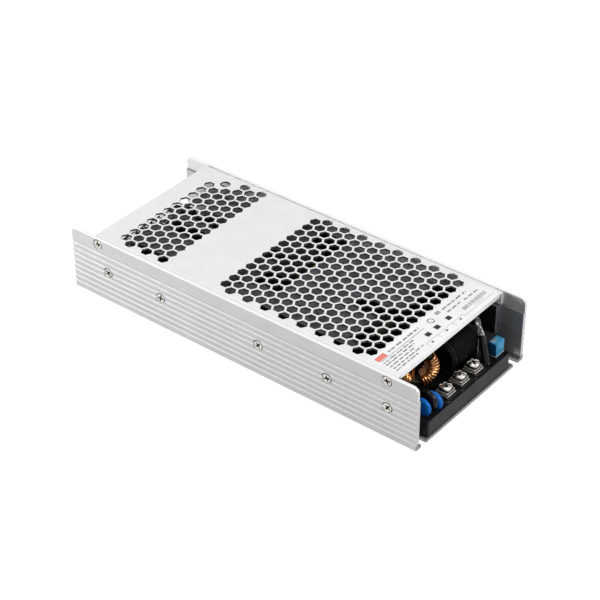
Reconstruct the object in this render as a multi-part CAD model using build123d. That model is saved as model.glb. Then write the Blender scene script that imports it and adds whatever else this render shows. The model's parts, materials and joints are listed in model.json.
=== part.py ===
from build123d import *
import os
from math import cos, hypot, radians, sin, sqrt

# A DC-DC converter: a ribbed aluminium channel closed by a sheet cover with hexagonal vents.
# Sizes are in millimetres. The origin is the centre of the base, on the plane that it stands on.
# X runs along the case to the input end, Y across it, Z up.

# The channel
chassis_length = 203.6
chassis_width = 85.0
chassis_height = 34.2
floor_thickness = 1.5
wall_thickness = 2.3
rim_thickness = 1.5
ledge_drop = 7.4
wall_corner_radius = 3.0
wall_foot_chamfer = 0.5

# The grooves rolled along the outside of both walls
groove_pitch = 3.15
groove_width = 1.9
groove_depth = 0.5
top_groove_drop = 0.75
lowest_groove = 3.9

# The open slots at the floor's corners and the tapped holes in the floor
slot_width = 4.0
slot_depth = 6.0
slot_from_outside = 6.1
mount_hole_radius = 1.65
mount_hole_from_outside = 5.9
mount_hole_from_end = 31.8

# The cover
cover_thickness = 1.0
cover_rear_setback = 14.0
cover_front_setback = 12.1
cover_side_clearance = 0.15
cover_ledge_clearance = 0.1
cover_bend_radius = 1.3
cover_lip_depth = 2.4
cover_lip_relief = 1.6

# The vents in the cover
vent_pitch = 6.0
vent_across_flats = 5.0
vent_side_margin = 5.5
front_vent_columns = 17
front_vent_margin = 19.37
rear_vent_columns = 6
rear_vent_margin = 13.1
window_radius = 2.65
window_from_rear = 19.1
window_from_side = 10.3
window_margin = 6.5

# Countersunk screws
screw_radius = 1.5
screw_head_radius = 2.8
screw_head_land = 0.2
screw_clearance = 0.05
screw_pass_clearance = 0.2
cover_screw_length = 4.0
cover_screw_drop = 3.4
cover_screw_front_inset = 4.3
cover_screw_rear_inset = 2.9
side_screw_length = 4.4
side_screw_groove = 3
side_screws_from_rear = (22.5, 56.1)
side_screw_middle = 13.4
side_screws_from_front = (49.0, 15.8)

# The label on the cover
label_thickness = 0.12
label_length = 15.9
label_front_margin = 0.3
label_side_margin = 1.6
label_corner_radius = 0.8

# The bars that carry heat to the walls, and the transistors on them
spreader_thickness = 2.2
spreader_bottom = 11.0
spreader_drop = 0.6
spreader_overhang = 2.6
transistors_from_rear = (45.8, 73.8)
transistors_from_front = (68.8, 31.8)
transistor_width = 10.0
transistor_top_drop = 0.2
transistor_tab_reach = 5.0
transistor_thickness = 4.5
transistor_tab_thickness = 1.3
transistor_bottom = 12.0
transistor_leg_pitch = 2.54
transistor_leg_width = 0.9
transistor_leg_thickness = 0.6
transistor_leg_landing = 6.0
strip_thickness = 0.3
tab_screw_from_top = 2.6
tab_screw_head_radius = 2.2
tab_screw_head_height = 1.8

# The tray, the board and the cast compound
tray_setback = 0.4
tray_side_gap = 10.25
tray_shift = -0.75
tray_height = 8.6
tray_wall = 0.5
tray_corner_radius = 1.0
compound_below_rim = 0.1
board_thickness = 1.6
board_clearance = 0.8
spacer_height = 3.0
spacer_radius = 2.5
spacer_inset = 8.0

# The insulating sheet that lies on the two bars. Each window is given by its two ends, measured
# from the case's end or middle, and by its two sides as shares of the case's half width.
sheet_thickness = 0.5
sheet_from_rear = 21.8
sheet_from_front = 45.8
sheet_clearance = 0.2
sheet_corner_radius = 1.0
middle_windows = (
    (-11.0, 3.5, -0.353, 0.894),
    (-21.0, -10.0, 0.07, 0.26),
)
front_windows = (
    (66.8, 51.3, -0.06, 0.153),
    (51.8, 44.8, -0.565, 0.176),
    (97.8, 47.8, -0.847, -0.659),
)
rear_windows = (
    (23.8, 51.8, 0.176, 0.459),
    (23.8, 51.8, -0.141, 0.035),
    (23.8, 51.8, -0.847, -0.6),
)

# Screw terminals
terminal_pitch = 10.8
input_terminals = 3
output_terminals = 4
terminal_plate_front = 3.4
terminal_plate_length = 6.8
terminal_plate_width = 6.4
terminal_plate_thickness = 0.7
terminal_leg_length = 1.0
terminal_base_front = 1.6
terminal_base_length = 9.6
terminal_base_margin = 4.3
terminal_base_below = 0.1
terminal_pad_height = 0.5
terminal_pad_inset = 0.3
terminal_pad_radius = 1.2
terminal_washer_size = 6.2
terminal_washer_thickness = 0.7
terminal_washer_lift = 0.5
terminal_head_radius = 3.0
terminal_head_height = 2.2
terminal_head_crown = 0.5
terminal_screw_length = 5.0
terminal_hole_spare = 0.3

# Parts that stand in the input bay. Their places are measured back from the case's front end
# and inwards from the tray's edge, their heights from the compound.
disc_edge = 1.2
disc_lead_radius = 0.4
disc_lead_spacing = 5.0
# Each disc: distance from the front, distance from the tray's edge, height, radius, thickness
blue_discs = ((7.6, 4.4, 3.9, 5.2, 2.8), (6.3, 12.0, 2.9, 5.1, 3.2))
black_disc = (7.7, 7.8, 4.0, 4.9, 3.2)
film_size = (4.4, 6.6, 7.0)
film_from_front = 5.6
film_from_edge = 3.9
film_edge = 0.3
film_lead_spacing = 2.6
choke_from_front = 20.8
choke_y = -13.3
choke_turn = 72.0
choke_outer_radius = 9.3
choke_hole_radius = 3.0
choke_width = 7.5
choke_wire = 1.2
choke_winding_count = 2
choke_winding_sweep = 150.0
choke_seat = 0.1
choke_lead_radius = 0.5
full_turn = 360.0
lead_radius = 0.9
lead_sleeve_radius = 1.4
lead_foot_from_front = 4.2
lead_foot_share = 0.38
lead_bend_from_front = 9.4
lead_bend_share = 0.63
lead_end_from_front = (14.3, 14.8)
lead_end_from_edge = (4.0, 2.9)
lead_end_lift = 0.1
lead_top = 13.4
lead_bend_radius = 2.4
sleeve_start = 0.4
sleeve_end = 3.2
input_can_radius = 8.0
input_can_length = 20.0
input_can_edge = 0.8
input_cans_from_front = (17.8, 34.4)
input_can_y = 9.5
fuse_radius = 2.6
fuse_cap_radius = 3.0
fuse_length = 22.0
fuse_cap_length = 5.0
fuse_from_front = 32.8
fuse_from_edge = 4.5
fuse_lift = 4.0
fuse_leg_radius = 0.5

# Parts that stand under the cover. Their places along the case are shares of its length.
main_core_place = (-0.059, 12.0)
main_core_size = (20.0, 30.0)
main_core_top_gap = 0.6
main_leg_width = 10.0
main_yoke = 4.0
main_coil_overhang = 4.0
aux_core_place = (0.216, 3.0)
aux_core_size = (12.0, 16.0)
aux_core_height = 14.0
aux_leg_width = 5.0
aux_yoke = 2.5
aux_coil_overhang = 2.6
coil_clearance = 0.2
ring_place = (-0.187, -10.0)
ring_outer_radius = 13.0
ring_hole_radius = 5.0
ring_height = 14.0
ring_wire = 1.6
ring_seat = 0.5
output_can_radius = 6.25
output_can_top_gap = 1.1
output_can_edge = 0.7
output_cans_from_rear = (23.8, 37.8)
output_cans_across = (-13.0, 11.0)
led_radius = 1.5
led_flange_radius = 1.9
led_flange_height = 0.8
led_body_height = 3.8
led_below_cover = 2.2
led_leg_size = 0.5
led_leg_spacing = 2.0
led_leg_landing = 3.0
led_knee_lift = 1.0

# Levels that follow from the sizes above
half_length = chassis_length / 2
half_width = chassis_width / 2
wall_inside = half_width - wall_thickness
rim_inside = half_width - rim_thickness
ledge_height = chassis_height - ledge_drop
top_groove_height = ledge_height - top_groove_drop
groove_count = 1 + int((top_groove_height - lowest_groove) / groove_pitch)
mount_hole_spacing = chassis_length - 2 * mount_hole_from_end
cover_rear = -half_length + cover_rear_setback
cover_front = half_length - cover_front_setback
cover_underside = chassis_height - cover_thickness
cover_screw_height = chassis_height - cover_screw_drop
vent_rows = int((chassis_width - 2 * vent_side_margin) / vent_pitch)
side_screw_height = top_groove_height - side_screw_groove * groove_pitch
side_screw_stations = (
    *(inset - half_length for inset in side_screws_from_rear),
    side_screw_middle,
    *(half_length - inset for inset in side_screws_from_front),
)
spreader_inside = wall_inside - spreader_thickness
spreader_top = ledge_height - spreader_drop
transistor_stations = (
    *(inset - half_length for inset in transistors_from_rear),
    *(half_length - inset for inset in transistors_from_front),
)
transistor_height = spreader_top - transistor_top_drop - transistor_bottom
tray_floor_top = floor_thickness + tray_wall
tray_rim = floor_thickness + tray_height
compound_top = tray_rim - compound_below_rim
board_bottom = tray_floor_top + spacer_height
board_top = board_bottom + board_thickness
tray_length = chassis_length - 2 * tray_setback
tray_width = chassis_width - 2 * tray_side_gap
tray_right_edge = tray_shift - tray_width / 2
tray_left_edge = tray_shift + tray_width / 2
tray_inner_length = tray_length - 2 * tray_wall
tray_inner_width = tray_width - 2 * tray_wall
main_core_height = spreader_top - main_core_top_gap - board_top
output_can_height = spreader_top - output_can_top_gap - board_top


def slab(x0, x1, y0, y1, z0, z1):
    """A rectangular block between two corners."""
    return Pos((x0 + x1) / 2, (y0 + y1) / 2, (z0 + z1) / 2) * Box(x1 - x0, y1 - y0, z1 - z0)


def post(x, y, z0, z1, radius):
    """An upright round pin or wire."""
    return Pos(x, y, (z0 + z1) / 2) * Cylinder(radius, z1 - z0)


def both_sides(thing):
    """The thing and its mirror image across the case."""
    return [thing, mirror(thing, about=Plane.XZ)]


def solids_of(things):
    """All solids of a list of shapes, as one group."""
    return Compound([solid for thing in things for solid in thing.solids()])


def countersunk_screw(length):
    """A flat-headed screw with its head at the origin and its shank along -Z."""
    cone_end = screw_head_land + screw_head_radius - screw_radius
    profile = Polyline(
        (0, 0), (screw_head_radius, 0), (screw_head_radius, -screw_head_land),
        (screw_radius, -cone_end), (screw_radius, -length), (0, -length), close=True)
    return revolve(Plane.XZ * make_face(profile), Axis.Z)


def countersink(depth):
    """The hole that a countersunk screw seats in: its cone, then a clearance hole."""
    gap = screw_clearance
    head = screw_head_radius + gap
    hole = screw_radius + screw_pass_clearance
    cone_end = screw_head_land + head - hole
    profile = Polyline(
        (0, 1), (head, 1), (head, -screw_head_land), (hole, -cone_end), (hole, -depth), (0, -depth),
        close=True)
    return revolve(Plane.XZ * make_face(profile), Axis.Z)


def on_wall(thing, x, z):
    """Stand a thing made along -Z on the outer face of the -Y wall, pointing inwards."""
    return Pos(x, -half_width, z) * Rot(90, 0, 0) * thing


def cover_screw_stations():
    return (cover_rear + cover_screw_rear_inset, cover_front - cover_screw_front_inset)


def channel_section():
    """The channel's section, in the YZ plane: floor, walls, ledges and grooves."""
    outline = Pos(0, chassis_height / 2) * Rectangle(chassis_width, chassis_height)
    outline = chamfer(outline.vertices().group_by(Axis.Y)[0], wall_foot_chamfer)
    low = Pos(0, (floor_thickness + ledge_height) / 2) * Rectangle(
        2 * wall_inside, ledge_height - floor_thickness)
    high = Pos(0, (ledge_height + chassis_height + 1) / 2) * Rectangle(
        2 * rim_inside, chassis_height + 1 - ledge_height)
    arc_radius = (groove_width ** 2 / 4 + groove_depth ** 2) / (2 * groove_depth)
    grooves = []
    for number in range(groove_count):
        height = top_groove_height - number * groove_pitch
        for side in (-1, 1):
            centre = side * (half_width + arc_radius - groove_depth)
            grooves.append(Pos(centre, height) * Circle(arc_radius))
    return outline - low - high - grooves


def make_chassis():
    section = Plane.YZ * channel_section()
    body = extrude(section, chassis_length / 2, both=True)
    tips = body.edges().filter_by(Axis.Y).group_by(Axis.Z)[-1]
    body = fillet(tips, wall_corner_radius)
    cuts = []
    for end in (-1, 1):
        inner_end = half_length - slot_depth + slot_width / 2
        for side in (-1, 1):
            y = side * (half_width - slot_from_outside)
            run = Pos(end * (inner_end + slot_depth), y) * Rectangle(2 * slot_depth, slot_width)
            tip = Pos(end * inner_end, y) * Circle(slot_width / 2)
            cuts.append(extrude(run + tip, floor_thickness))
            hole_y = side * (half_width - mount_hole_from_outside)
            cuts.append(post(end * mount_hole_spacing / 2, hole_y, 0, floor_thickness,
                             mount_hole_radius))
    for x in cover_screw_stations():
        cuts += both_sides(on_wall(countersink(rim_thickness), x, cover_screw_height))
    for x in side_screw_stations:
        cuts += both_sides(on_wall(countersink(wall_thickness), x, side_screw_height))
    return body - cuts


def vent_centres(first_x, columns):
    """Centres of a field of hexagons in columns, every second column with one more."""
    centres = []
    for column in range(columns):
        x = first_x + column * vent_pitch * sqrt(3) / 2
        rows = vent_rows + column % 2
        for row in range(rows):
            centres.append((x, (row - (rows - 1) / 2) * vent_pitch))
    return centres


def window_centre():
    return (cover_rear + window_from_rear, half_width - window_from_side)


def make_top_cover():
    width = 2 * (rim_inside - cover_side_clearance)
    flange_bottom = ledge_height + cover_ledge_clearance
    height = chassis_height - flange_bottom
    outer = Pos(0, flange_bottom + height / 2) * Rectangle(width, height)
    outer = fillet(outer.vertices().group_by(Axis.Y)[-1], cover_bend_radius)
    inner = Pos(0, flange_bottom + (height - cover_thickness) / 2) * Rectangle(
        width - 2 * cover_thickness, height - cover_thickness)
    inner = fillet(inner.vertices().group_by(Axis.Y)[-1], cover_bend_radius - cover_thickness)
    length = cover_front - cover_rear
    shell = Pos(cover_rear, 0, 0) * extrude(Plane.YZ * (outer - inner), length)
    lip_half = width / 2 - cover_thickness - cover_lip_relief
    lip_bottom = chassis_height - cover_lip_depth
    for x in (cover_rear, cover_front - cover_thickness):
        shell += slab(x, x + cover_thickness, -lip_half, lip_half, lip_bottom, cover_underside)
    last_front = (front_vent_columns - 1) * vent_pitch * sqrt(3) / 2
    centres = vent_centres(cover_front - front_vent_margin - last_front, front_vent_columns)
    centres += vent_centres(cover_rear + rear_vent_margin, rear_vent_columns)
    window = window_centre()
    hexagon = RegularPolygon(vent_across_flats / sqrt(3), 6)
    shapes = [Pos(x, y) * hexagon for x, y in centres
              if hypot(x - window[0], y - window[1]) > window_margin]
    shapes.append(Pos(*window) * Circle(window_radius))
    holes = [Pos(0, 0, cover_underside) * extrude(shape, cover_thickness) for shape in shapes]
    for x in cover_screw_stations():
        thread = Cylinder(screw_radius + screw_clearance, 2 * cover_screw_length)
        holes += both_sides(on_wall(thread, x, cover_screw_height))
    return shell - holes


def make_cover_screws():
    screws = []
    for x in cover_screw_stations():
        screws += both_sides(on_wall(countersunk_screw(cover_screw_length), x, cover_screw_height))
    return solids_of(screws)


def make_side_screws():
    screws = []
    for x in side_screw_stations:
        screws += both_sides(on_wall(countersunk_screw(side_screw_length), x, side_screw_height))
    return solids_of(screws)


def make_rating_label():
    half = rim_inside - cover_side_clearance - cover_bend_radius - label_side_margin
    front = cover_front - label_front_margin
    outline = RectangleRounded(label_length, 2 * half, label_corner_radius)
    return Pos(front - label_length / 2, 0, chassis_height) * extrude(outline, label_thickness)


def tab_screw_height():
    return transistor_bottom + transistor_height - tab_screw_from_top


def make_heat_spreader():
    """The bar on the -Y wall: its tapped holes take the side screws and the tab screws."""
    rear = side_screw_stations[0] - spreader_overhang
    front = side_screw_stations[-1] + spreader_overhang
    bar = slab(rear, front, -wall_inside, -spreader_inside, spreader_bottom, spreader_top)
    thread = Cylinder(screw_radius + screw_clearance, 2 * half_width)
    holes = [Pos(x, -half_width, side_screw_height) * Rot(90, 0, 0) * thread
             for x in side_screw_stations]
    holes += [Pos(x, -half_width, tab_screw_height()) * Rot(90, 0, 0) * thread
              for x in transistor_stations]
    return bar - holes


def transistor(x):
    """A flat power transistor, its tab against the strip on the -Y bar."""
    back = -(spreader_inside - strip_thickness)
    front = back + transistor_thickness
    bottom = transistor_bottom
    top = bottom + transistor_height
    half = transistor_width / 2
    body = slab(x - half, x + half, back, front, bottom, top - transistor_tab_reach)
    body += slab(x - half, x + half, back, back + transistor_tab_thickness, bottom, top)
    body -= Pos(x, back, tab_screw_height()) * Rot(90, 0, 0) * Cylinder(
        screw_radius + screw_pass_clearance, 2 * transistor_thickness)
    leg_y = (back + front) / 2
    landing = leg_y + transistor_leg_landing
    thick = transistor_leg_thickness
    low = tray_rim + thick
    side_view = Polyline(
        (leg_y, bottom), (leg_y, low), (landing, low), (landing, board_top),
        (landing + thick, board_top), (landing + thick, low + thick), (leg_y + thick, low + thick),
        (leg_y + thick, bottom), close=True)
    for number in (-1, 0, 1):
        leg_x = x + number * transistor_leg_pitch - transistor_leg_width / 2
        body += Pos(leg_x, 0, 0) * extrude(Plane.YZ * make_face(side_view), transistor_leg_width)
    return body


def make_transistors():
    return solids_of([half for x in transistor_stations for half in both_sides(transistor(x))])


def make_insulating_strips():
    """A thin strip over the inner face of each bar, with a hole for each tab screw."""
    rear = side_screw_stations[0] - spreader_overhang
    front = side_screw_stations[-1] + spreader_overhang
    strip = slab(rear, front, -spreader_inside, -spreader_inside + strip_thickness,
                 spreader_bottom, spreader_top)
    hole = Cylinder(screw_radius + screw_pass_clearance, 2 * half_width)
    strip -= [Pos(x, -half_width, tab_screw_height()) * Rot(90, 0, 0) * hole
              for x in transistor_stations]
    return solids_of(both_sides(strip))


def make_tab_screws():
    seat = -(spreader_inside - strip_thickness) + transistor_tab_thickness
    reach = wall_inside - spreader_thickness / 2
    profile = Polyline(
        (0, tab_screw_head_height), (tab_screw_head_radius, tab_screw_head_height),
        (tab_screw_head_radius, 0), (screw_radius, 0), (screw_radius, -(reach + seat)),
        (0, -(reach + seat)), close=True)
    screw = revolve(Plane.XZ * make_face(profile), Axis.Z)
    screws = []
    for x in transistor_stations:
        screws += both_sides(Pos(x, seat, tab_screw_height()) * Rot(-90, 0, 0) * screw)
    return solids_of(screws)


def make_tray():
    outer = RectangleRounded(tray_length, tray_width, tray_corner_radius)
    inner = RectangleRounded(tray_inner_length, tray_inner_width, tray_corner_radius - tray_wall)
    shell = Pos(0, tray_shift, floor_thickness) * extrude(outer, tray_height)
    return shell - Pos(0, tray_shift, tray_floor_top) * extrude(inner, tray_height)


def make_board():
    outline = RectangleRounded(tray_inner_length - 2 * board_clearance,
                               tray_inner_width - 2 * board_clearance,
                               tray_corner_radius - tray_wall)
    return Pos(0, tray_shift, board_bottom) * extrude(outline, board_thickness)


def make_board_spacers():
    reach_x = tray_inner_length / 2 - spacer_inset
    reach_y = tray_inner_width / 2 - spacer_inset
    return solids_of([post(x, tray_shift + y, tray_floor_top, board_bottom, spacer_radius)
                      for x in (-reach_x, 0, reach_x) for y in (-reach_y, reach_y)])


def make_compound(immersed):
    """The cast compound: it fills the tray round everything that stands in it.

    The blind holes under the terminal screws stay empty, so only the largest solid is kept.
    """
    outline = RectangleRounded(tray_inner_length, tray_inner_width, tray_corner_radius - tray_wall)
    fill = Pos(0, tray_shift, tray_floor_top) * extrude(outline, compound_top - tray_floor_top)
    return (fill - immersed).solids().sort_by(SortBy.VOLUME)[-1]


def sheet_windows():
    """The windows of the sheet as two ends and two sides each, in the case's coordinates."""
    windows = list(middle_windows)
    windows += [(half_length - far, half_length - near, low, high)
                for far, near, low, high in front_windows]
    windows += [(near - half_length, far - half_length, low, high)
                for near, far, low, high in rear_windows]
    return [(x0, x1, low * half_width, high * half_width) for x0, x1, low, high in windows]


def make_insulation_sheet():
    half = wall_inside - sheet_clearance
    sheet = slab(sheet_from_rear - half_length, half_length - sheet_from_front, -half, half,
                 spreader_top, spreader_top + sheet_thickness)
    holes = []
    for x0, x1, y0, y1 in sheet_windows():
        outline = RectangleRounded(x1 - x0, y1 - y0, sheet_corner_radius)
        holes.append(Pos((x0 + x1) / 2, (y0 + y1) / 2, spreader_top) *
                     extrude(outline, sheet_thickness))
    led_x, led_y = window_centre()
    holes.append(post(led_x, led_y, spreader_top, spreader_top + sheet_thickness,
                      led_flange_radius + sheet_clearance))
    return sheet - holes


def terminal_base_half(count):
    return (count - 1) / 2 * terminal_pitch + terminal_base_margin


def terminal_row(count):
    """Base, plates, washers and screws of a row of terminals at the +X end."""
    plate_front = half_length - terminal_plate_front
    plate_rear = plate_front - terminal_plate_length
    base_front = half_length - terminal_base_front
    base_rear = base_front - terminal_base_length
    base_half = terminal_base_half(count)
    base_top = compound_top - terminal_base_below
    pad_top = base_top + terminal_pad_height
    plate_top = pad_top + terminal_plate_thickness
    washer_bottom = plate_top + terminal_washer_lift
    head_bottom = washer_bottom + terminal_washer_thickness
    screw_x = plate_front - terminal_plate_length / 2
    washer_half = terminal_washer_size / 2
    plate_half = terminal_plate_width / 2
    tread = screw_radius + screw_clearance
    base = slab(base_rear, base_front, -base_half, base_half, board_top, base_top)
    plates = []
    washers = []
    screws = []
    for number in range(count):
        y = (number - (count - 1) / 2) * terminal_pitch
        pad_length = terminal_base_length - 2 * terminal_pad_inset
        pad_width = 2 * (terminal_base_margin - terminal_pad_inset)
        pad = RectangleRounded(pad_length, pad_width, terminal_pad_radius)
        base += Pos((base_rear + base_front) / 2, y, base_top) * extrude(pad, terminal_pad_height)
        plate = slab(plate_rear, plate_front, y - plate_half, y + plate_half, pad_top, plate_top)
        plate += slab(plate_rear, plate_rear + terminal_leg_length, y - plate_half, y + plate_half,
                      board_top, pad_top)
        plates.append(plate - post(screw_x, y, pad_top, plate_top, tread))
        washer = slab(screw_x - washer_half, screw_x + washer_half, y - washer_half,
                      y + washer_half, washer_bottom, head_bottom)
        washers.append(washer - post(screw_x, y, washer_bottom, head_bottom, tread))
        head = post(screw_x, y, head_bottom, head_bottom + terminal_head_height,
                    terminal_head_radius)
        head = chamfer(head.edges().group_by(Axis.Z)[-1], terminal_head_crown)
        screws.append(head + post(screw_x, y, head_bottom - terminal_screw_length, head_bottom,
                                  screw_radius))
        blind = head_bottom - terminal_screw_length - terminal_hole_spare
        base -= post(screw_x, y, blind, pad_top, tread)
        base -= slab(plate_rear, plate_rear + terminal_leg_length, y - plate_half, y + plate_half,
                     board_top, pad_top)
    return base, solids_of(plates), solids_of(washers), solids_of(screws)


def disc_part(place):
    """A coated disc standing across the case on two wire leads."""
    from_front, from_edge, height, radius, thickness = place
    x = half_length - from_front
    y = tray_right_edge + from_edge
    z = compound_top + height
    disc = Cylinder(radius, thickness)
    disc = fillet(disc.edges(), disc_edge)
    disc = Pos(x, y, z) * Rot(90, 0, 0) * disc
    for side in (-1, 1):
        lead_x = x + side * disc_lead_spacing / 2
        disc += post(lead_x, y, board_top, z - radius / 2, disc_lead_radius)
    return disc


def make_film_capacitor():
    x = half_length - film_from_front
    y = tray_left_edge - film_from_edge
    length, width, height = film_size
    body = Box(length, width, height)
    body = chamfer(body.edges().group_by(Axis.Z)[-1], film_edge)
    body = Pos(x, y, compound_top + height / 2) * body
    for side in (-1, 1):
        body += post(x, y + side * film_lead_spacing / 2, board_top, compound_top,
                     disc_lead_radius)
    return body


def choke_x():
    return half_length - choke_from_front


def choke_plane():
    turn = radians(choke_turn)
    height = compound_top + choke_seat + choke_outer_radius
    return Plane(origin=(choke_x(), choke_y, height),
                 x_dir=(cos(turn), sin(turn), 0), z_dir=(sin(turn), -cos(turn), 0))


def ring_sector(outer, inner, height, start, sweep):
    """Part of a ring about Z with a rectangular section."""
    section = Pos((outer + inner) / 2, 0) * Rectangle(outer - inner, height)
    return Rot(0, 0, start) * revolve(Plane.XZ * section, Axis.Z, revolution_arc=sweep)


def make_choke_core():
    outer = choke_outer_radius - choke_wire
    inner = choke_hole_radius + choke_wire
    ring = Cylinder(outer, choke_width - 2 * choke_wire)
    ring -= Cylinder(inner, choke_width)
    return choke_plane() * ring


def choke_lead(side, depth):
    """A winding's end: a wire that goes down to the board beside the ring's foot."""
    turn = radians(choke_turn)
    half_gap = (full_turn / choke_winding_count - choke_winding_sweep) / 2
    along = side * (choke_outer_radius * sin(radians(half_gap)) + 2 * choke_lead_radius)
    across = depth * (choke_width - choke_wire) / 2
    x = choke_x() + along * cos(turn) - across * sin(turn)
    y = choke_y + along * sin(turn) + across * cos(turn)
    return post(x, y, board_top, compound_top + 2 * choke_wire, choke_lead_radius)


def make_choke_windings():
    core_outer = choke_outer_radius - choke_wire
    core_inner = choke_hole_radius + choke_wire
    core = Cylinder(core_outer, choke_width - 2 * choke_wire) - Cylinder(core_inner, choke_width)
    windings = []
    for number, side in enumerate((1, -1)):
        start = number * full_turn / choke_winding_count - choke_winding_sweep / 2
        turns = ring_sector(choke_outer_radius, choke_hole_radius, choke_width, start,
                            choke_winding_sweep)
        leads = [choke_lead(side, depth) for depth in (-1, 1)]
        windings.append(choke_plane() * (turns - core) + leads)
    return solids_of(windings)


def lead_points():
    """Where the earth lead turns: its foot, its bend, and the two ends of its far leg."""
    inner = terminal_base_half(input_terminals)
    outer = tray_left_edge - film_from_edge - film_size[1] / 2
    foot = (half_length - lead_foot_from_front, inner + lead_foot_share * (outer - inner))
    bend = (half_length - lead_bend_from_front, inner + lead_bend_share * (outer - inner))
    ends = [(half_length - from_front, tray_left_edge - from_edge)
            for from_front, from_edge in zip(lead_end_from_front, lead_end_from_edge)]
    return foot, bend, *ends


def make_lead():
    """The stiff earth lead: up from the board, over and down again, with a sleeve on its rise."""
    foot, bend, turn, end = lead_points()
    top_level = compound_top + lead_top
    start = Vector(*foot, board_top + lead_radius)
    top = Vector(*bend, top_level)
    path = FilletPolyline(start, top, (*turn, top_level), (*end, board_top + lead_end_lift),
                          radius=lead_bend_radius)
    wire = sweep(Plane(origin=start, z_dir=top - start) * Circle(lead_radius), path=path)
    direction = (top - start).normalized()
    rise = (compound_top + sleeve_start - start.Z) / direction.Z
    length = (top - start).length - rise - sleeve_end
    middle = start + direction * (rise + length / 2)
    tube = Cylinder(lead_sleeve_radius, length) - Cylinder(lead_radius, length)
    return wire, Plane(origin=middle, z_dir=direction) * tube


def make_input_cans():
    cans = []
    for inset in input_cans_from_front:
        can = Cylinder(input_can_radius, input_can_length)
        can = chamfer(can.edges(), input_can_edge)
        height = compound_top + choke_seat + input_can_radius
        cans.append(Pos(half_length - inset, input_can_y, height) * Rot(90, 0, 0) * can)
    return solids_of(cans)


def make_fuse():
    x = half_length - fuse_from_front
    y = tray_left_edge - fuse_from_edge
    z = compound_top + fuse_lift
    middle = fuse_length - 2 * fuse_cap_length
    tube = Pos(x, y, z) * Rot(0, 90, 0) * Cylinder(fuse_radius, middle)
    caps = []
    for side in (-1, 1):
        cap_x = x + side * (fuse_length - fuse_cap_length) / 2
        cap = Pos(cap_x, y, z) * Rot(0, 90, 0) * Cylinder(fuse_cap_radius, fuse_cap_length)
        caps.append(cap + post(cap_x, y, board_top, z - fuse_cap_radius / 2, fuse_leg_radius))
    return tube, solids_of(caps)


def transformer(spot, size, height, leg_width, yoke, overhang):
    """A closed ferrite core on the board with its taped coil round the middle leg."""
    share, y = spot
    length, width = size
    window = (width - leg_width) / 2 - yoke
    core = Box(length, width, height)
    for side in (-1, 1):
        core -= Pos(0, side * (leg_width + window) / 2, 0) * Box(
            length, window, height - 2 * yoke)
    coil = Box(length + 2 * overhang, leg_width + 2 * (window - coil_clearance),
               height - 2 * yoke - 2 * coil_clearance)
    coil -= Box(length, leg_width, height)
    place = Pos(share * chassis_length, y, board_top + height / 2)
    return place * core, place * coil


def make_output_choke():
    share, y = ring_place
    place = Pos(share * chassis_length, y, board_top + ring_seat + ring_height / 2)
    core = Cylinder(ring_outer_radius - ring_wire, ring_height - 2 * ring_wire)
    core -= Cylinder(ring_hole_radius + ring_wire, ring_height)
    winding = Cylinder(ring_outer_radius, ring_height) - Cylinder(ring_hole_radius, ring_height)
    return place * core, place * (winding - core)


def make_output_cans():
    can = Cylinder(output_can_radius, output_can_height)
    can = chamfer(can.edges().group_by(Axis.Z)[-1], output_can_edge)
    middle = board_top + output_can_height / 2
    return solids_of([Pos(inset - half_length, y, middle) * can
                      for inset in output_cans_from_rear for y in output_cans_across])


def make_status_led():
    """A domed light on two square legs, which jog sideways to reach the board."""
    x, y = window_centre()
    top = cover_underside - led_below_cover
    bottom = top - led_body_height
    shoulder = top - led_radius
    dome = led_radius * sin(radians(45))
    outline = Line((0, bottom), (led_flange_radius, bottom))
    outline += Line((led_flange_radius, bottom), (led_flange_radius, bottom + led_flange_height))
    outline += Line((led_flange_radius, bottom + led_flange_height),
                    (led_radius, bottom + led_flange_height))
    outline += Line((led_radius, bottom + led_flange_height), (led_radius, shoulder))
    outline += ThreePointArc((led_radius, shoulder), (dome, shoulder + dome), (0, top))
    outline += Line((0, top), (0, bottom))
    body = Pos(x, y, 0) * revolve(Plane.XZ * make_face(outline), Axis.Z)
    half = led_leg_size / 2
    knee = compound_top + led_knee_lift
    landing = y - led_leg_landing
    for side in (-1, 1):
        leg_x = x + side * led_leg_spacing / 2
        body += slab(leg_x - half, leg_x + half, y - half, y + half, knee, bottom)
        body += slab(leg_x - half, leg_x + half, landing - half, y + half, knee - led_leg_size,
                     knee)
        body += slab(leg_x - half, leg_x + half, landing - half, landing + half, board_top, knee)
    return body


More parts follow.
